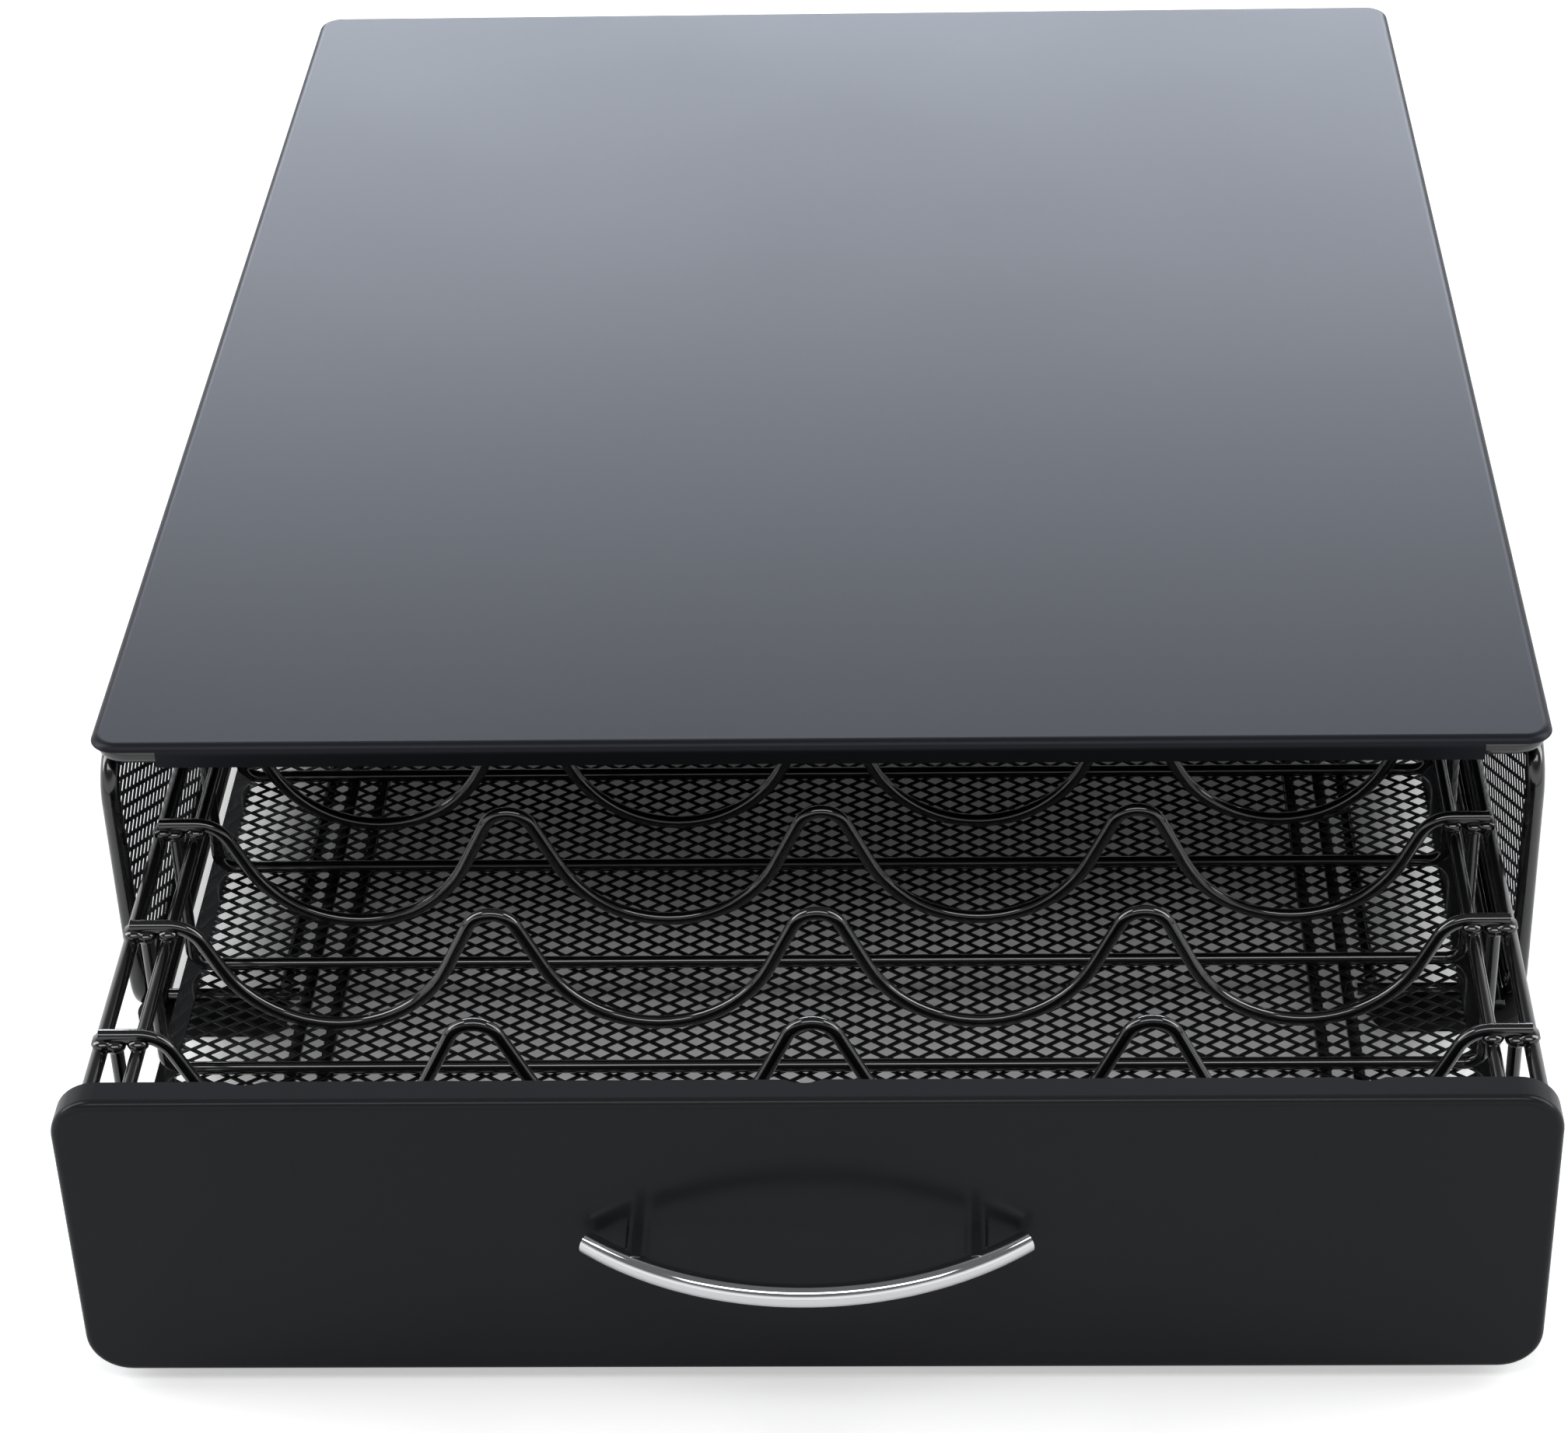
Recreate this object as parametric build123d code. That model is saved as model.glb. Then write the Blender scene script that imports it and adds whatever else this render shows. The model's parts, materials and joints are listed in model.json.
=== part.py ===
from build123d import *
import math
import os

# Coffee pod drawer: a painted wire cabinet with a sheet top, and a sliding wire basket for pods.
# Millimetres. X is left to right, Y runs from the drawer front to the rear, Z is up from the counter.
# The drawer is shown pulled out by drawer_out, as it rests.

# Overall sizes
cabinet_width = 305.0
cabinet_depth = 366.0
cabinet_height = 78.0
drawer_out = 106.0
drawer_travel = 256.0

# Wire and sheet gauges
sheet = 0.8
heavy_wire = 4.4
frame_wire = 4.0
rim_wire = 3.2
light_wire = 2.8
net_wire = 2.0
net_sheet = 0.7
weld_gap = 0.05
running_gap = 0.5

# Top panel
top_corner = 6.0
top_roll = 2.2
top_flange = 5.0
top_wire_bend = 5.0
bare_corner = 14.5
bare_lip = 1.3

# Side frames, feet and runners
side_bend = 9.0
net_bend = 6.0
post_setback = 0.4
foot_height = 3.3
foot_length = 33.0
foot_width = 12.0
foot_edge = 0.8
foot_setback = 0.5
foot_inset = 1.0
runner_inset = 34.0
bracket_lift = 1.2

# Drawer front
panel_side_gap = 11.5
panel_bottom = 3.8
panel_top_gap = 1.2
panel_depth = 6.55
panel_sheet = 1.2
panel_corner = 8.5
panel_roll = 1.7
dip_inset = 36.5
dip_width = 7.0
dip_depth = 1.0
glide_inset = 29.0
glide_radius = 1.7
glide_setback = 4.0

# Handle
handle_length = 83.0
handle_bar = 4.4
handle_stand = 2.7
handle_bow = 14.5
handle_height = 39.5
post_spacing = 64.0
post_radius = 2.4
screw_radius = 1.5
screw_fit = 0.05
screw_depth = 5.0
screw_head_radius = 3.0
screw_head_height = 2.0
screw_head_edge = 0.6

# Basket
basket_rear_gap = 16.0
rib_inset = 2.6
rim_bend = 6.0
rim_end_length = 14.0
rim_end_bend = 12.0
side_wire_inset = 4.65
rows = 9
columns = 4
first_row = 44.7
last_row_gap = 22.9
wave_side_room = 4.4
wave_peak = 54.0
wave_height = 28.4
valley_radius = 26.0
peak_radius = 5.5
wave_end_drop = 2.6
wave_end_bend = 7.0
rib_bend = 4.0
floor_strip = 4.0
floor_strip_height = 1.6
floor_side_reach = 2.4
floor_front_gap = 1.0
floor_rear_gap = 6.0
floor_wire_inset = 27.8
floor_wire_spacing = 7.0
stop_tab_width = 5.0
stop_tab_sheet = 2.0

# Nets: cells along and across each net, and how much of a cell is open
floor_net_cells = (9, 16)
side_net_cells = (32, 4)
rear_net_cells = (26, 4)
net_open = 0.74

# Worked out from the sizes above
handle_reach = handle_stand + handle_bow + handle_bar / 2
front = -(cabinet_depth - drawer_out - handle_reach) / 2
back = front + cabinet_depth
face = front - drawer_out
half_width = cabinet_width / 2

top_wire_z = cabinet_height - sheet - weld_gap - heavy_wire / 2
top_wire_inset = sheet + weld_gap + heavy_wire / 2
side_top_z = top_wire_z - heavy_wire / 2 - weld_gap - frame_wire / 2
side_bottom_z = foot_height + weld_gap + frame_wire / 2
side_x = half_width - top_wire_inset
post_inset = top_wire_inset + post_setback
base_rail_x = side_x - frame_wire / 2 - weld_gap - light_wire / 2
base_rail_inner = base_rail_x - light_wire / 2 - weld_gap
nest = frame_wire / 2 + weld_gap + net_wire / 2
catch_bar_y = front + panel_depth + running_gap + light_wire / 2
catch_bar_z = side_top_z
net_frame_top = side_top_z - nest
net_frame_bottom = side_bottom_z + nest
net_frame_inset = post_inset + nest
rear_net_y = back - post_inset
rear_net_half = side_x - nest
rear_net_top = top_wire_z - heavy_wire / 2 - weld_gap - net_wire / 2
panel_top = top_wire_z - heavy_wire / 2 - panel_top_gap
panel_half = half_width - panel_side_gap
basket_half = panel_half - rib_inset
rim_x = basket_half + light_wire / 2 + weld_gap + rim_wire / 2
column_pitch = 2 * (basket_half - wave_side_room) / columns
basket_length = cabinet_depth - basket_rear_gap
basket_rear = face + basket_length
row_pitch = (basket_length - first_row - last_row_gap) / (rows - 1)
bracket_z = foot_height + bracket_lift + light_wire / 2
runner_z = bracket_z + light_wire + weld_gap
runner_x = half_width - runner_inset
floor_strip_z = runner_z + light_wire / 2 + running_gap
floor_net_z = floor_strip_z + floor_strip_height - net_sheet
cross_wire_height = floor_net_z + net_sheet + weld_gap + light_wire / 2
floor_half = basket_half + floor_side_reach
floor_front = face + panel_depth + floor_front_gap
floor_rear = basket_rear - floor_rear_gap
floor_wire_z = floor_strip_z - weld_gap - light_wire / 2
floor_wire_outer = floor_half - floor_wire_inset
floor_wire_inner = floor_wire_outer - floor_wire_spacing
wave_end_z = wave_peak - wave_end_drop
rim_height = wave_end_z - light_wire / 2 - weld_gap - rim_wire / 2
side_wire_x = basket_half - side_wire_inset
side_wire_z = wave_end_z - light_wire - weld_gap

os.makedirs("parts", exist_ok=True)


def save(name, shape):
    shape.label = name
    export_step(shape, f"parts/{name}.step")


def sweep_round(path, diameter):
    start = Plane(origin=path @ 0, z_dir=path % 0)
    return sweep(start * Circle(diameter / 2), path=path)


def bent_wire(corners, radii, diameter):
    """A round wire through the corners, with a bend of its own radius at each inner corner."""
    points = [Vector(*c) for c in corners]
    edges = []
    last = points[0]
    for before, corner, after, radius in zip(points, points[1:], points[2:], radii):
        come = (corner - before).normalized()
        leave = (after - corner).normalized()
        turn = math.acos(max(-1, min(1, come.dot(leave))))
        reach = radius * math.tan(turn / 2)
        start = corner - come * reach
        end = corner + leave * reach
        inward = (leave - come).normalized()
        middle = corner + inward * (radius / math.cos(turn / 2) - radius)
        edges.append(Line(last, start))
        edges.append(ThreePointArc(start, middle, end))
        last = end
    edges.append(Line(last, points[-1]))
    return sweep_round(Wire(edges), diameter)


def straight_wire(start, end, diameter):
    return sweep_round(Wire([Line(start, end)]), diameter)


def loop_wire(plane, length, height, bend, diameter):
    return sweep_round((plane * RectangleRounded(length, height, bend)).wire(), diameter)


def rolled_tray(plane, length, height, depth, corner, roll, wall):
    """A sheet pressed into a shallow tray with rolled edges, open at the back of its plane."""
    outer = extrude(plane * RectangleRounded(length, height, corner), -depth)
    outer = fillet(outer.faces().sort_by(Axis(plane.origin, plane.z_dir))[-1].edges(), roll)
    inner_plane = plane.offset(-wall)
    inner_shape = RectangleRounded(length - 2 * wall, height - 2 * wall, corner - wall)
    inner = extrude(inner_plane * inner_shape, -depth)
    inner = fillet(inner.faces().sort_by(Axis(plane.origin, plane.z_dir))[-1].edges(), roll - wall)
    return outer - inner


def diamond_net(plane, length, height, cells):
    """A flat net with staggered diamond openings, centred on its plane."""
    along, across = cells
    step_x = length / (along + 0.5)
    step_y = height / (across + 0.5)
    half_x = step_x / 2 * net_open
    half_y = step_y / 2 * net_open
    openings = []
    for row in range(2 * across):
        for column in range(along):
            x = -length / 2 + step_x * (column + 0.5 + 0.5 * (row % 2))
            y = -height / 2 + step_y * (row + 1) / 2
            corners = [(x - half_x, y), (x, y - half_y), (x + half_x, y), (x, y + half_y)]
            openings.append(Wire.make_polygon([Vector(*c) for c in corners], close=True))
    border = Rectangle(length, height).wire()
    return plane * extrude(Face(border, openings), net_sheet / 2, both=True)


def top_panel():
    deck = Plane(origin=(0, front + cabinet_depth / 2, cabinet_height))
    tray = rolled_tray(deck, cabinet_width, cabinet_depth, top_flange, top_corner, top_roll, sheet)
    for side in (-1, 1):
        notch = Box(2 * bare_corner, 2 * bare_corner, top_flange)
        notch_z = cabinet_height - bare_lip - top_flange / 2
        tray -= Pos(side * half_width, front, notch_z) * notch
    return tray


def top_frame():
    plane = Plane(origin=(0, front + cabinet_depth / 2, top_wire_z))
    length = cabinet_width - 2 * top_wire_inset
    depth = cabinet_depth - 2 * top_wire_inset
    return loop_wire(plane, length, depth, top_wire_bend, heavy_wire)


def side_loop(x, inset, low, high, bend, diameter):
    plane = Plane(
        origin=(x, front + cabinet_depth / 2, (low + high) / 2), x_dir=(0, 1, 0), z_dir=(1, 0, 0)
    )
    return loop_wire(plane, cabinet_depth - 2 * inset, high - low, bend, diameter)


def side_frame(side):
    return side_loop(side * side_x, post_inset, side_bottom_z, side_top_z, side_bend, frame_wire)


def side_net_frame(side):
    x = side * side_x
    return side_loop(x, net_frame_inset, net_frame_bottom, net_frame_top, net_bend, net_wire)


def upright_net(plane, length, height, cells):
    """The net inside a net frame, with its corners cut to clear the frame's bends."""
    net = diamond_net(plane, length - net_wire, height - net_wire, cells)
    outline = RectangleRounded(length - net_wire, height - net_wire, net_bend - net_wire / 2)
    return net & (plane * extrude(outline, net_sheet, both=True))


def side_net(side):
    middle_z = (net_frame_top + net_frame_bottom) / 2
    plane = Plane(
        origin=(side * side_x, front + cabinet_depth / 2, middle_z),
        x_dir=(0, 1, 0),
        z_dir=(1, 0, 0),
    )
    length = cabinet_depth - 2 * net_frame_inset
    return upright_net(plane, length, net_frame_top - net_frame_bottom, side_net_cells)


def rear_net_frame():
    middle_z = (rear_net_top + net_frame_bottom) / 2
    plane = Plane(origin=(0, rear_net_y, middle_z), x_dir=(1, 0, 0), z_dir=(0, -1, 0))
    height = rear_net_top - net_frame_bottom
    return loop_wire(plane, 2 * rear_net_half, height, net_bend, net_wire)


def rear_net():
    middle_z = (rear_net_top + net_frame_bottom) / 2
    plane = Plane(origin=(0, rear_net_y, middle_z), x_dir=(1, 0, 0), z_dir=(0, -1, 0))
    height = rear_net_top - net_frame_bottom
    return upright_net(plane, 2 * rear_net_half, height, rear_net_cells)


def cross_bar(reach, y, z):
    return straight_wire((-reach, y, z), (reach, y, z), light_wire)


def base_rail(side):
    """A long wire beside the bottom of a side frame, which the runner's carriers are welded to."""
    x = side * base_rail_x
    start = (x, front + post_inset, side_bottom_z)
    return straight_wire(start, (x, back - post_inset, side_bottom_z), light_wire)


def foot(side, y):
    x = side * (half_width - foot_inset - foot_length / 2)
    pad = extrude(SlotOverall(foot_length, foot_width), foot_height)
    pad = fillet(pad.faces().sort_by(Axis.Z)[0].edges(), foot_edge)
    return Pos(x, y, 0) * pad


def runner_bracket(side):
    """A short wire from a base rail inwards, under the front of a runner."""
    inner = runner_x - light_wire
    start = (side * base_rail_inner, catch_bar_y, bracket_z)
    return straight_wire(start, (side * inner, catch_bar_y, bracket_z), light_wire)


rear_bar_y = back - (catch_bar_y - front)


def runner(side):
    x = side * runner_x
    start = (x, catch_bar_y - light_wire / 2, runner_z)
    return straight_wire(start, (x, rear_bar_y + light_wire / 2, runner_z), light_wire)


def front_panel():
    middle_z = (panel_top + panel_bottom) / 2
    plane = Plane(origin=(0, face, middle_z), x_dir=(1, 0, 0), z_dir=(0, -1, 0))
    height = panel_top - panel_bottom
    tray = rolled_tray(
        plane, 2 * panel_half, height, panel_depth, panel_corner, panel_roll, panel_sheet
    )
    dip_radius = (dip_width**2 / 4 + dip_depth**2) / (2 * dip_depth)
    for x in (dip_inset - panel_half, 0, panel_half - dip_inset):
        dip = extrude(Circle(dip_radius), 2 * panel_sheet, both=True)
        tray -= Pos(x, face + panel_depth - dip_depth + dip_radius, panel_top) * dip
    for side in (-1, 1):
        hole = extrude(plane * Circle(screw_radius + screw_fit), 2 * panel_sheet, both=True)
        tray -= Pos(side * post_spacing / 2, 0, handle_height - middle_z) * hole
    return tray


def panel_glide():
    dome = Cylinder(glide_radius, glide_radius)
    dome = fillet(dome.faces().sort_by(Axis.Z)[0].edges(), glide_radius * 0.7)
    glide_x = glide_inset - panel_half
    return Pos(glide_x, face + glide_setback, panel_bottom - weld_gap - glide_radius / 2) * dome


handle_radius = ((handle_length / 2) ** 2 + handle_bow**2) / (2 * handle_bow)


def handle_gap_at(x):
    """How far the bar's centre line stands in front of the drawer's face."""
    sag = handle_radius - math.sqrt(handle_radius**2 - x**2)
    return handle_stand + handle_bow - sag


def handle_arc(diameter):
    half = handle_length / 2
    ends = [(x, face - handle_gap_at(x), handle_height) for x in (-half, 0, half)]
    return sweep_round(Wire([ThreePointArc(*ends)]), diameter)


def handle_posts():
    """Two posts, hollowed to the bar's curve at one end and drilled for the screws at the other."""
    bar_space = handle_arc(handle_bar + 2 * weld_gap)
    posts = []
    reach = handle_gap_at(post_spacing / 2)
    for side in (-1, 1):
        base = Plane(
            origin=(side * post_spacing / 2, face, handle_height), x_dir=(1, 0, 0), z_dir=(0, -1, 0)
        )
        post = extrude(base * Circle(post_radius), reach)
        post -= extrude(base * Circle(screw_radius + screw_fit), screw_depth + running_gap)
        post -= bar_space
        posts.append(post.solids().sort_by(SortBy.VOLUME)[-1])
    return Compound(children=posts)


def handle_screws():
    screws = []
    for side in (-1, 1):
        seat = Plane(
            origin=(side * post_spacing / 2, face + panel_sheet, handle_height),
            x_dir=(1, 0, 0),
            z_dir=(0, 1, 0),
        )
        head = extrude(seat * Circle(screw_head_radius), screw_head_height)
        head = fillet(head.faces().sort_by(Axis.Y)[-1].edges(), screw_head_edge)
        shank = extrude(seat * Circle(screw_radius), -(panel_sheet + screw_depth))
        screws.append((head + shank).solids()[0])
    return Compound(children=screws)


def basket_rim():
    """The outer top wire: its ends are drawn in to the front's sides and welded behind them."""
    start = face + panel_depth + weld_gap
    rear = basket_rear - rim_wire / 2
    end_x = panel_half - rim_wire / 2
    corners = [
        (-end_x, start, rim_height),
        (-rim_x, start + rim_end_length, rim_height),
        (-rim_x, rear, rim_height),
        (rim_x, rear, rim_height),
        (rim_x, start + rim_end_length, rim_height),
        (end_x, start, rim_height),
    ]
    return bent_wire(corners, [rim_end_bend, rim_bend, rim_bend, rim_end_bend], rim_wire)


def side_wire(side):
    x = side * side_wire_x
    start = (x, face + panel_sheet + weld_gap, side_wire_z)
    return straight_wire(start, (x, basket_rear - rim_wire - weld_gap, side_wire_z), light_wire)


def rib(y):
    """A U of wire: two legs inside the rim, under the wave's ends, and a run across the floor."""
    leg_top = wave_end_z - light_wire / 2 - weld_gap
    corners = [
        (-basket_half, y, leg_top),
        (-basket_half, y, cross_wire_height),
        (basket_half, y, cross_wire_height),
        (basket_half, y, leg_top),
    ]
    return bent_wire(corners, [rib_bend, rib_bend], light_wire)


def wave(y):
    """A wavy wire with a wide valley for each pod column, its ends welded to the rim."""
    half_pitch = column_pitch / 2
    both = valley_radius + peak_radius
    centres = math.hypot(half_pitch, wave_height - both)
    slope = math.atan2(wave_height - both, half_pitch) + math.asin(both / centres)
    valley_z = wave_peak - wave_height
    peak_tip = wave_peak + peak_radius * (1 / math.cos(slope) - 1)
    valley_tip = valley_z - valley_radius * (1 / math.cos(slope) - 1)
    corners = []
    radii = []
    for index in range(2 * columns - 1):
        x = (index - (columns - 1)) * half_pitch
        in_valley = index % 2 == 0
        corners.append((x, y, valley_tip if in_valley else peak_tip))
        radii.append(valley_radius if in_valley else peak_radius)
    outer_run = (wave_end_z - valley_tip) / math.tan(slope)
    knee = corners[-1][0] + outer_run
    corners = [(-rim_x, y, wave_end_z), (-knee, y, wave_end_z), *corners]
    corners += [(knee, y, wave_end_z), (rim_x, y, wave_end_z)]
    return bent_wire(corners, [wave_end_bend, *radii, wave_end_bend], light_wire)


def floor_frame():
    length = 2 * floor_half
    depth = floor_rear - floor_front
    middle = Pos(0, (floor_front + floor_rear) / 2, floor_strip_z)
    hole = Rectangle(length - 2 * floor_strip, depth - 2 * floor_strip)
    return middle * extrude(Rectangle(length, depth) - hole, floor_strip_height)


def floor_net():
    length = 2 * (floor_half - floor_strip)
    depth = floor_rear - floor_front - 2 * floor_strip
    middle_z = floor_net_z + net_sheet / 2
    plane = Plane(origin=(0, (floor_front + floor_rear) / 2, middle_z))
    return diamond_net(plane, length, depth, floor_net_cells)


def floor_wire(x):
    start = (x, face + panel_sheet + weld_gap, floor_wire_z)
    return straight_wire(start, (x, floor_rear - weld_gap, floor_wire_z), light_wire)


def stop_tab(side):
    """An upright tab on the rim that meets the cabinet's catch bar when the drawer is fully open."""
    y = catch_bar_y + light_wire / 2 + running_gap + drawer_travel - drawer_out
    low = rim_height + rim_wire / 2 + weld_gap
    high = catch_bar_z + light_wire / 2 - running_gap
    tab = Box(stop_tab_sheet, stop_tab_width, high - low)
    return Pos(side * rim_x, y + stop_tab_width / 2, (low + high) / 2) * tab


sides = {"left": -1, "right": 1}
feet_y = {
    "front": front + foot_setback + foot_width / 2,
    "rear": back - foot_setback - foot_width / 2,
}

save("top_panel", top_panel())
save("top_frame", top_frame())
for name, side in sides.items():
    save(f"{name}_side_frame", side_frame(side))
    save(f"{name}_net_frame", side_net_frame(side))
    save(f"{name}_side_net", side_net(side))
    save(f"{name}_runner", runner(side))
    save(f"{name}_side_wire", side_wire(side))
    save(f"{name}_stop_tab", stop_tab(side))
    save(f"{name}_base_rail", base_rail(side))
    save(f"{name}_runner_bracket", runner_bracket(side))
    for end in ("front", "rear"):
        save(f"{end}_{name}_foot", foot(side, feet_y[end]))
save("rear_net_frame", rear_net_frame())
save("rear_net", rear_net())
save("catch_bar", cross_bar(side_x - frame_wire / 2 - weld_gap, catch_bar_y, catch_bar_z))
save("rear_cross_bar", cross_bar(base_rail_inner, rear_bar_y, bracket_z))
save("front_panel", front_panel())
save("panel_glide", panel_glide())
save("handle_bar", handle_arc(handle_bar))
save("handle_posts", handle_posts())
save("handle_screws", handle_screws())
save("basket_rim", basket_rim())
for row in range(rows):
    row_y = face + first_row + row * row_pitch
    save(f"rib_{row + 1}", rib(row_y))
    save(f"wave_{row + 1}", wave(row_y))
save("floor_frame", floor_frame())
save("floor_net", floor_net())
for number, x in enumerate((-floor_wire_outer, -floor_wire_inner, floor_wire_inner, floor_wire_outer)):
    save(f"floor_wire_{number + 1}", floor_wire(x))
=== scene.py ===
import bpy
import json
import math
from mathutils import Matrix, Vector


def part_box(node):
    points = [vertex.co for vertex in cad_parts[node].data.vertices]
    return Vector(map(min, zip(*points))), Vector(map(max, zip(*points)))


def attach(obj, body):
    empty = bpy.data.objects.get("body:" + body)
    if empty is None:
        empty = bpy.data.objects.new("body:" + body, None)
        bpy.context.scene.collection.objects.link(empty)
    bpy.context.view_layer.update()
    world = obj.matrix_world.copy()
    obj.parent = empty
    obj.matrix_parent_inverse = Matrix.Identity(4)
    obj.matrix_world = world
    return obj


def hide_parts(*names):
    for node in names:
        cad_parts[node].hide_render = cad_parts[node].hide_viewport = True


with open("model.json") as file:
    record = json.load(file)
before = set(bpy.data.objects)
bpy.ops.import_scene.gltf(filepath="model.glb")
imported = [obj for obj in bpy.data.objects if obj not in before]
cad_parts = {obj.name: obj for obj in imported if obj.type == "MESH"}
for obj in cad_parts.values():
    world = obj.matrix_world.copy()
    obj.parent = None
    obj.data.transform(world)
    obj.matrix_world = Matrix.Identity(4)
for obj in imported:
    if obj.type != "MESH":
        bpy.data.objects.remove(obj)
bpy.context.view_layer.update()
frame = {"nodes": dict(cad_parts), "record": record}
print("frame loaded")


# Small helpers

def deselectAll():
    if bpy.context.object and bpy.context.object.mode != "OBJECT":
        bpy.ops.object.mode_set(mode="OBJECT")
    bpy.ops.object.select_all(action="DESELECT")


def selectOnly(piece):
    deselectAll()
    piece.select_set(True)
    bpy.context.view_layer.objects.active = piece


def applyPlace(piece):
    selectOnly(piece)
    bpy.ops.object.transform_apply(location=True, rotation=True, scale=True)


def applyModifiers(piece):
    selectOnly(piece)
    for modifier in list(piece.modifiers):
        bpy.ops.object.modifier_apply(modifier=modifier.name)


def editAll(piece):
    selectOnly(piece)
    bpy.ops.object.mode_set(mode="EDIT")
    bpy.ops.mesh.select_all(action="SELECT")


# Selects the vertices whose place passes a test, and stays in edit mode
def selectNear(piece, wanted):
    bpy.ops.mesh.select_all(action="DESELECT")
    bpy.ops.mesh.select_mode(type="VERT")
    bpy.ops.object.mode_set(mode="OBJECT")
    for vertex in piece.data.vertices:
        vertex.select = wanted(vertex.co)
    bpy.ops.object.mode_set(mode="EDIT")


def nodeMiddle(node):
    low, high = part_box(node)
    return (low + high) / 2, high - low


# Materials

def addNode(tree, kind, **values):
    node = tree.nodes.new(kind)
    for key, value in values.items():
        setattr(node, key, value)
    return node


def addMath(tree, operation, *sources):
    node = addNode(tree, "ShaderNodeMath", operation=operation)
    for index, source in enumerate(sources):
        tree.links.new(source, node.inputs[index])
    return node


# A smooth change from one value to another between two edges
def addStep(tree, edges, values):
    step = addNode(tree, "ShaderNodeMapRange", interpolation_type="SMOOTHSTEP")
    step.inputs["From Min"].default_value, step.inputs["From Max"].default_value = edges
    step.inputs["To Min"].default_value, step.inputs["To Max"].default_value = values
    return step


def startMaterial(name):
    material = bpy.data.materials.new(name)
    material.use_nodes = True
    tree = material.node_tree
    return material, tree, tree.nodes["Principled BSDF"]


# Fine grain and slow patches that every paint and metal shares
grainValues = {
    "scale": 900.0,
    "patchScale": 14.0,
    "detail": 3.0,
    "patchDetail": 2.0,
}


def makeGrainGroup():
    group = bpy.data.node_groups.new("paintGrain", "ShaderNodeTree")
    face = group.interface
    for name, value in (
        ("Scale", grainValues["scale"]),
        ("Patch Scale", grainValues["patchScale"]),
    ):
        socket = face.new_socket(name=name, in_out="INPUT", socket_type="NodeSocketFloat")
        socket.default_value = value
    for name in ("Grain", "Patch"):
        face.new_socket(name=name, in_out="OUTPUT", socket_type="NodeSocketFloat")
    entry = addNode(group, "NodeGroupInput")
    leave = addNode(group, "NodeGroupOutput")
    coords = addNode(group, "ShaderNodeTexCoord")
    for scaleName, detail, result in (
        ("Scale", grainValues["detail"], "Grain"),
        ("Patch Scale", grainValues["patchDetail"], "Patch"),
    ):
        noise = addNode(group, "ShaderNodeTexNoise")
        noise.inputs["Detail"].default_value = detail
        group.links.new(coords.outputs["Object"], noise.inputs["Vector"])
        group.links.new(entry.outputs[scaleName], noise.inputs["Scale"])
        group.links.new(noise.outputs["Fac"], leave.inputs[result])
    return group


grainGroup = makeGrainGroup()


def linkRoughness(tree, shader, grain, look):
    rough = addNode(tree, "ShaderNodeMapRange")
    rough.inputs["To Min"].default_value = look["roughness"] - look["roughnessSpread"]
    rough.inputs["To Max"].default_value = look["roughness"] + look["roughnessSpread"]
    tree.links.new(grain.outputs["Patch"], rough.inputs["Value"])
    tree.links.new(rough.outputs["Result"], shader.inputs["Roughness"])


def makePaint(name, look):
    material, tree, shader = startMaterial(name)
    shader.inputs["Specular IOR Level"].default_value = look["specular"]
    shader.inputs["Specular Tint"].default_value = (*look["specularTint"], 1)
    shader.inputs["Coat Roughness"].default_value = look["coatRoughness"]
    shader.inputs["Coat Weight"].default_value = look["coat"]
    grain = addNode(tree, "ShaderNodeGroup", node_tree=grainGroup)
    grain.inputs["Scale"].default_value = look["grainScale"]
    grain.inputs["Patch Scale"].default_value = look["patchScale"]
    colour = addNode(tree, "ShaderNodeMix", data_type="RGBA")
    colour.inputs["A"].default_value = (*look["colour"], 1)
    colour.inputs["B"].default_value = (*look["colourLight"], 1)
    tree.links.new(grain.outputs["Patch"], colour.inputs["Factor"])
    tree.links.new(colour.outputs["Result"], shader.inputs["Base Color"])
    linkRoughness(tree, shader, grain, look)
    bump = addNode(tree, "ShaderNodeBump")
    bump.inputs["Strength"].default_value = look["bump"]
    bump.inputs["Distance"].default_value = look["bumpDepth"]
    tree.links.new(grain.outputs["Grain"], bump.inputs["Height"])
    tree.links.new(bump.outputs["Normal"], shader.inputs["Normal"])
    return material


def makeMetal(name, look):
    material, tree, shader = startMaterial(name)
    shader.inputs["Base Color"].default_value = (*look["colour"], 1)
    shader.inputs["Metallic"].default_value = 1.0
    grain = addNode(tree, "ShaderNodeGroup", node_tree=grainGroup)
    linkRoughness(tree, shader, grain, look)
    return material


sheetLook = {
    "colour": (0.0085, 0.0089, 0.0100),
    "colourLight": (0.0105, 0.0110, 0.0122),
    "specular": 0.25,
    "specularTint": (0.72, 0.78, 1.0),
    "roughness": 0.38,
    "roughnessSpread": 0.03,
    "coat": 0.0,
    "coatRoughness": 0.2,
    "grainScale": 1500.0,
    "patchScale": 9.0,
    "bump": 0.05,
    "bumpDepth": 0.00005,
}
panelLook = dict(
    sheetLook,
    colour=(0.0150, 0.0154, 0.0170),
    colourLight=(0.0178, 0.0184, 0.0206),
    specular=0.16,
    specularTint=(0.9, 0.93, 1.0),
    roughness=0.22,
)
wireLook = {
    "colour": (0.0035, 0.0036, 0.0038),
    "colourLight": (0.0055, 0.0056, 0.0058),
    "specular": 0.5,
    "specularTint": (1.0, 1.0, 1.0),
    "roughness": 0.17,
    "roughnessSpread": 0.04,
    "coat": 1.0,
    "coatRoughness": 0.06,
    "grainScale": 900.0,
    "patchScale": 60.0,
    "bump": 0.08,
    "bumpDepth": 0.00008,
}
netLook = dict(wireLook, roughness=0.35, coat=0.0, specular=0.35)
rubberLook = dict(
    wireLook, roughness=0.7, coat=0.0, specular=0.2, colour=(0.008, 0.008, 0.008)
)
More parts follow.
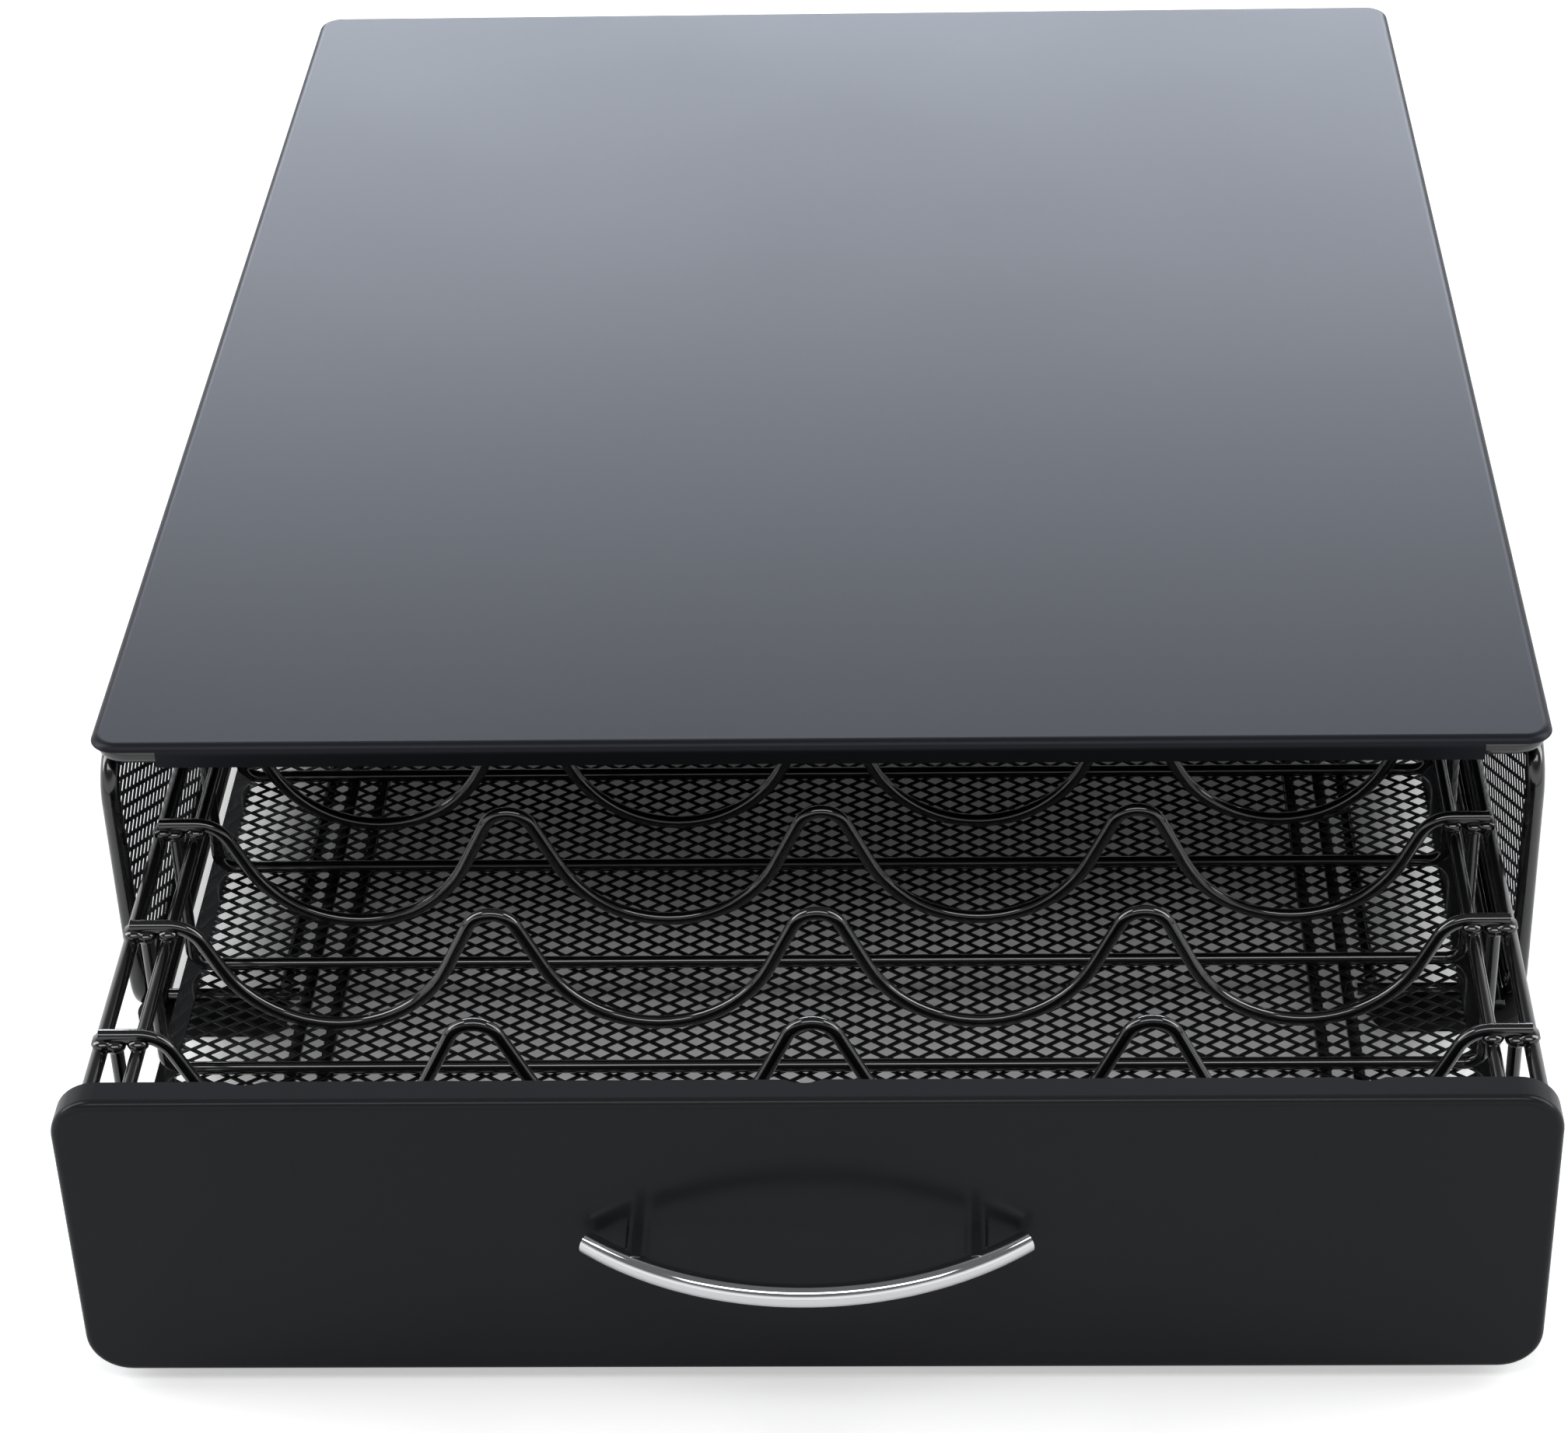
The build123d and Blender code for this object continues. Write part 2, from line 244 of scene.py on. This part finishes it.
chromeLook = {"colour": (0.78, 0.79, 0.81), "roughness": 0.06, "roughnessSpread": 0.02}
screwLook = {"colour": (0.6, 0.6, 0.58), "roughness": 0.3, "roughnessSpread": 0.05}

sheetPaint = makePaint("satinSheetPaint", sheetLook)
panelPaint = makePaint("satinPanelPaint", panelLook)
wirePaint = makePaint("glossWirePaint", wireLook)
netPaint = makePaint("netPaint", netLook)
footRubber = makePaint("footRubber", rubberLook)
chrome = makeMetal("polishedChrome", chromeLook)
screwZinc = makeMetal("screwZinc", screwLook)

slotMaterials = {
    "sheet_paint": sheetPaint,
    "wire_paint": wirePaint,
    "net_paint": netPaint,
    "chrome": chrome,
    "screw_steel": screwZinc,
    "foot_rubber": footRubber,
    "glide_plastic": footRubber,
}
for entry in frame["record"]["subparts"]:
    nodeObject = frame["nodes"][entry["node"]]
    nodeObject.data.materials.clear()
    nodeObject.data.materials.append(slotMaterials[entry["material_slot"]])
# The drawer front shares the top's slot but is a little lighter and smoother
frame["nodes"]["front_panel"].data.materials[0] = panelPaint
print("materials made")

# Expanded nets: one diamond cell with a tilted opening, arrayed and trimmed, so the strands twist

netValues = {
    "cellAlong": 0.00675,
    "cellAcross": 0.00372,
    "inset": 0.1,
    "openAlong": 0.69,
    "openAcross": 0.765,
    "openingReach": 0.4,
    "floorTilt": 7.0,
    "wallTilt": 3.5,
    "spareCells": 2,
    "mergeDistance": 0.00002,
    "thickness": 0.00032,
}


# Cuts off what lies past one side of the net
def bisectNet(reach, axis, side):
    point = [0, 0, 0]
    normal = [0, 0, 0]
    point[axis] = side * reach
    normal[axis] = side
    bpy.ops.mesh.select_all(action="SELECT")
    bpy.ops.mesh.bisect(plane_co=point, plane_no=normal, clear_outer=True)


def makeNet(node, body, turn, tilt):
    middle, size = nodeMiddle(node)
    flat = turn.inverted() @ size
    length, height = abs(flat.x), abs(flat.y)
    along, across = netValues["cellAlong"], netValues["cellAcross"]
    # The cell starts as a square on its corner: first its opening is sized, then the whole cell
    diagonal = math.sqrt(2)
    opening = diagonal * (1 - 2 * netValues["inset"])
    openingScale = (
        netValues["openAlong"] * diagonal / opening,
        netValues["openAcross"] * diagonal / opening,
        1,
    )
    cellScale = (along / diagonal, across / diagonal, 1)
    reachAlong = along * netValues["openingReach"]
    reachAcross = across * netValues["openingReach"]
    deselectAll()
    bpy.ops.mesh.primitive_plane_add(size=1)
    net = bpy.context.object
    net.name = node + "_expanded"
    bpy.ops.object.mode_set(mode="EDIT")
    bpy.ops.transform.rotate(value=math.radians(45), orient_axis="Z", center_override=(0, 0, 0))
    bpy.ops.mesh.inset(thickness=netValues["inset"], depth=0)
    bpy.ops.transform.resize(value=openingScale, center_override=(0, 0, 0))
    bpy.ops.mesh.delete(type="FACE")
    bpy.ops.mesh.select_all(action="SELECT")
    bpy.ops.transform.resize(value=cellScale, center_override=(0, 0, 0))
    selectNear(net, lambda point: abs(point.x) < reachAlong and abs(point.y) < reachAcross)
    bpy.ops.transform.rotate(
        value=-math.radians(tilt), orient_axis="X", center_override=(0, 0, 0)
    )
    bpy.ops.mesh.select_all(action="SELECT")
    bpy.ops.mesh.duplicate_move(TRANSFORM_OT_translate={"value": (along / 2, across / 2, 0)})
    bpy.ops.mesh.select_all(action="SELECT")
    columns = math.ceil(length / along) + netValues["spareCells"]
    rows = math.ceil(height / across) + netValues["spareCells"]
    start = (-columns * along / 2, -rows * across / 2, 0)
    bpy.ops.transform.translate(value=start)
    bpy.ops.object.mode_set(mode="OBJECT")
    for count, step in ((columns, (along, 0, 0)), (rows, (0, across, 0))):
        array = net.modifiers.new("array", "ARRAY")
        array.count = count
        array.use_relative_offset = False
        array.use_constant_offset = True
        array.constant_offset_displace = step
    applyModifiers(net)
    editAll(net)
    bpy.ops.mesh.remove_doubles(threshold=netValues["mergeDistance"])
    for side in (-1, 1):
        bisectNet(length / 2, 0, side)
        bisectNet(height / 2, 1, side)
    bpy.ops.object.mode_set(mode="OBJECT")
    solid = net.modifiers.new("solid", "SOLIDIFY")
    solid.thickness = netValues["thickness"]
    solid.offset = 0
    applyModifiers(net)
    net.matrix_world = Matrix.Translation(middle) @ turn.to_4x4()
    applyPlace(net)
    net.data.materials.append(netPaint)
    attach(net, body)
    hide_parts(node)
    triangles = sum(len(face.vertices) - 2 for face in net.data.polygons)
    print(net.name, triangles, "triangles")


flatTurn = Matrix.Identity(3)
sideTurn = Matrix(((0, 0, 1), (1, 0, 0), (0, 1, 0)))
rearTurn = Matrix(((1, 0, 0), (0, 0, -1), (0, 1, 0)))
makeNet("floor_net", "drawer", flatTurn, netValues["floorTilt"])
makeNet("left_side_net", "cabinet", sideTurn, netValues["wallTilt"])
makeNet("right_side_net", "cabinet", sideTurn, netValues["wallTilt"])
makeNet("rear_net", "cabinet", rearTurn, netValues["wallTilt"])
print("nets made")

# Weld beads where the basket's wires cross

beadValues = {
    "size": (0.0024, 0.0029, 0.0017),
    "segments": 10,
    "rings": 6,
    "crownStart": 0.6,
    "crownScale": (0.7, 0.8, 0.85),
    "rows": 9,
    "rimInset": 0.0006,
    "ribSink": 0.0004,
}


# A rounded bead with a flatter crown
def makeBead(place):
    crownHeight = beadValues["size"][2] * beadValues["crownStart"]
    deselectAll()
    bpy.ops.mesh.primitive_uv_sphere_add(
        segments=beadValues["segments"],
        ring_count=beadValues["rings"],
        radius=1,
        location=(0, 0, 0),
    )
    bead = bpy.context.object
    bead.name = "weldBead"
    editAll(bead)
    bpy.ops.transform.resize(value=beadValues["size"], center_override=(0, 0, 0))
    selectNear(bead, lambda point: point.z > crownHeight)
    bpy.ops.transform.resize(value=beadValues["crownScale"], center_override=(0, 0, 0))
    bpy.ops.mesh.select_all(action="SELECT")
    bpy.ops.transform.translate(value=place)
    bpy.ops.object.mode_set(mode="OBJECT")
    return bead


def makeWeldBeads():
    rimMiddle, rimSize = nodeMiddle("basket_rim")
    rimReach = rimSize.x / 2 - rimSize.z / 2
    rimTop = rimMiddle.z + rimSize.z / 2
    wireMiddle, wireSize = nodeMiddle("right_side_wire")
    ribMiddle, ribSize = nodeMiddle("rib_1")
    ribReach = ribSize.x / 2 - ribSize.y / 2
    beads = []
    for row in range(1, beadValues["rows"] + 1):
        y = nodeMiddle("wave_%d" % row)[0].y
        for side in (-1, 1):
            for reach, z in (
                (rimReach - beadValues["rimInset"], rimTop),
                (wireMiddle.x, wireMiddle.z + wireSize.z / 2),
                (ribReach, ribMiddle.z + ribSize.z / 2 - beadValues["ribSink"]),
            ):
                beads.append(makeBead((side * reach, y, z)))
    deselectAll()
    for bead in beads:
        bead.select_set(True)
    bpy.context.view_layer.objects.active = beads[0]
    bpy.ops.object.join()
    welds = bpy.context.object
    welds.name = "weld_beads"
    bpy.ops.object.shade_smooth()
    welds.data.materials.append(wirePaint)
    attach(welds, "drawer")


makeWeldBeads()
print("weld beads made")

# Stage: floor, world, lamps and camera

stageValues = {
    "floorSize": 12.0,
    "floorColour": (0.86, 0.86, 0.86),
    "floorRoughness": 0.9,
    "floorSpecular": 0.1,
    "floorGlow": 0.52,
    "underGlow": 0.03,
    "glowEdges": {"X": (0.122, 0.146), "Y": (0.16, 0.235)},
    "farGlow": 0.3,
    "farEdges": (0.6, 2.5),
    "worldLight": 0.2,
    "ceilingLight": 0.15,
    "ceilingEdges": (0.30, 0.62),
    "lamps": {
        "frontLamp": {
            "size": (1.6, 0.35),
            "place": (0.0, -0.85, 1.35),
            "aim": (0, -0.1, 0),
            "power": 7,
            "colour": (1, 1, 1),
        },
        "rearLamp": {
            "size": (2.4, 0.4),
            "place": (0.0, 2.25, 0.87),
            "aim": (0, 0.2, 0.05),
            "power": 47,
            "colour": (0.84, 0.90, 1.0),
        },
        "leftLamp": {
            "size": (0.45, 1.2),
            "place": (-1.15, 0.0, 0.85),
            "aim": (0, 0, 0),
            "power": 9,
            "colour": (1, 1, 1),
        },
        "rightLamp": {
            "size": (0.45, 1.2),
            "place": (1.15, 0.0, 0.85),
            "aim": (0, 0, 0),
            "power": 9,
            "colour": (1, 1, 1),
        },
    },
}


# Seen directly the floor glows, less so under the piece and more so far away
def makeFloor():
    deselectAll()
    bpy.ops.mesh.primitive_plane_add(size=stageValues["floorSize"])
    floor = bpy.context.object
    floor.name = "studioFloor"
    material, tree, shader = startMaterial("studioFloor")
    shader.inputs["Base Color"].default_value = (*stageValues["floorColour"], 1)
    shader.inputs["Roughness"].default_value = stageValues["floorRoughness"]
    shader.inputs["Specular IOR Level"].default_value = stageValues["floorSpecular"]
    shader.inputs["Emission Color"].default_value = (1, 1, 1, 1)
    path = addNode(tree, "ShaderNodeLightPath")
    coords = addNode(tree, "ShaderNodeTexCoord")
    parts = addNode(tree, "ShaderNodeSeparateXYZ")
    tree.links.new(coords.outputs["Object"], parts.inputs[0])
    sides = []
    for axis, edges in stageValues["glowEdges"].items():
        reach = addMath(tree, "ABSOLUTE", parts.outputs[axis])
        away = addStep(tree, edges, (stageValues["underGlow"], stageValues["floorGlow"]))
        tree.links.new(reach.outputs[0], away.inputs["Value"])
        sides.append(away.outputs["Result"])
    outside = addMath(tree, "MAXIMUM", *sides)
    distance = addNode(tree, "ShaderNodeVectorMath", operation="LENGTH")
    far = addStep(tree, stageValues["farEdges"], (0.0, stageValues["farGlow"]))
    tree.links.new(coords.outputs["Object"], distance.inputs[0])
    tree.links.new(distance.outputs["Value"], far.inputs["Value"])
    both = addMath(tree, "ADD", outside.outputs[0], far.outputs["Result"])
    glow = addMath(tree, "MULTIPLY", both.outputs[0], path.outputs["Is Camera Ray"])
    tree.links.new(glow.outputs[0], shader.inputs["Emission Strength"])
    floor.data.materials.append(material)


# Seen directly the world is white; reflections see it too, with a darker ceiling above
def makeWorld():
    world = bpy.data.worlds.new("studioWorld")
    bpy.context.scene.world = world
    world.use_nodes = True
    tree = world.node_tree
    background = tree.nodes["Background"]
    path = addNode(tree, "ShaderNodeLightPath")
    coords = addNode(tree, "ShaderNodeTexCoord")
    parts = addNode(tree, "ShaderNodeSeparateXYZ")
    ceiling = addStep(tree, stageValues["ceilingEdges"], (1.0, stageValues["ceilingLight"]))
    tree.links.new(coords.outputs["Generated"], parts.inputs[0])
    tree.links.new(parts.outputs["Z"], ceiling.inputs["Value"])
    mirrored = addMath(
        tree, "MAXIMUM", path.outputs["Is Glossy Ray"], path.outputs["Is Transmission Ray"]
    )
    shown = addNode(tree, "ShaderNodeMix", data_type="FLOAT")
    shown.inputs["A"].default_value = stageValues["worldLight"]
    tree.links.new(mirrored.outputs[0], shown.inputs["Factor"])
    tree.links.new(ceiling.outputs["Result"], shown.inputs["B"])
    strength = addMath(tree, "MAXIMUM", path.outputs["Is Camera Ray"], shown.outputs["Result"])
    tree.links.new(strength.outputs[0], background.inputs["Strength"])
    background.inputs["Color"].default_value = (1, 1, 1, 1)


def addLamp(name, values):
    light = bpy.data.lights.new(name, "AREA")
    light.shape = "RECTANGLE"
    light.size, light.size_y = values["size"]
    light.energy = values["power"]
    light.color = values["colour"]
    lamp = bpy.data.objects.new(name, light)
    bpy.context.scene.collection.objects.link(lamp)
    lamp.location = values["place"]
    aim = Vector(values["aim"]) - lamp.location
    lamp.rotation_euler = aim.to_track_quat("-Z", "Y").to_euler()
    lamp.visible_camera = False


cameraValues = {
    "focalPixels": 4937.1,
    "imageWidth": 2016,
    "imageHeight": 1843,
    "centrePixel": (1108, 780),
    "place": (0.0299, -0.7707, 0.5340),
    "pitch": 32.974,
    "yaw": -1.759,
    "roll": -1.381,
    "sensor": 36.0,
    "clipStart": 0.01,
}


def makeCamera():
    values = cameraValues
    width, height = values["imageWidth"], values["imageHeight"]
    data = bpy.data.cameras.new("studioCamera")
    camera = bpy.data.objects.new("studioCamera", data)
    bpy.context.scene.collection.objects.link(camera)
    pitch, yaw, roll = (math.radians(values[key]) for key in ("pitch", "yaw", "roll"))
    forward = Vector((
        math.sin(yaw) * math.cos(pitch),
        math.cos(yaw) * math.cos(pitch),
        -math.sin(pitch),
    ))
    level = Vector((math.cos(yaw), -math.sin(yaw), 0))
    above = level.cross(forward)
    right = math.cos(roll) * level + math.sin(roll) * above
    up = -math.sin(roll) * level + math.cos(roll) * above
    turn = Matrix((right, up, -forward)).transposed().to_4x4()
    camera.matrix_world = Matrix.Translation(values["place"]) @ turn
    data.sensor_width = values["sensor"]
    data.lens = values["focalPixels"] / width * values["sensor"]
    data.shift_x = (width / 2 - values["centrePixel"][0]) / width
    data.shift_y = (values["centrePixel"][1] - height / 2) / width
    data.clip_start = values["clipStart"]
    bpy.context.scene.camera = camera


makeFloor()
makeWorld()
for lampName, lampValues in stageValues["lamps"].items():
    addLamp(lampName, lampValues)
makeCamera()
bpy.context.scene.view_settings.view_transform = "Standard"
print("stage set")
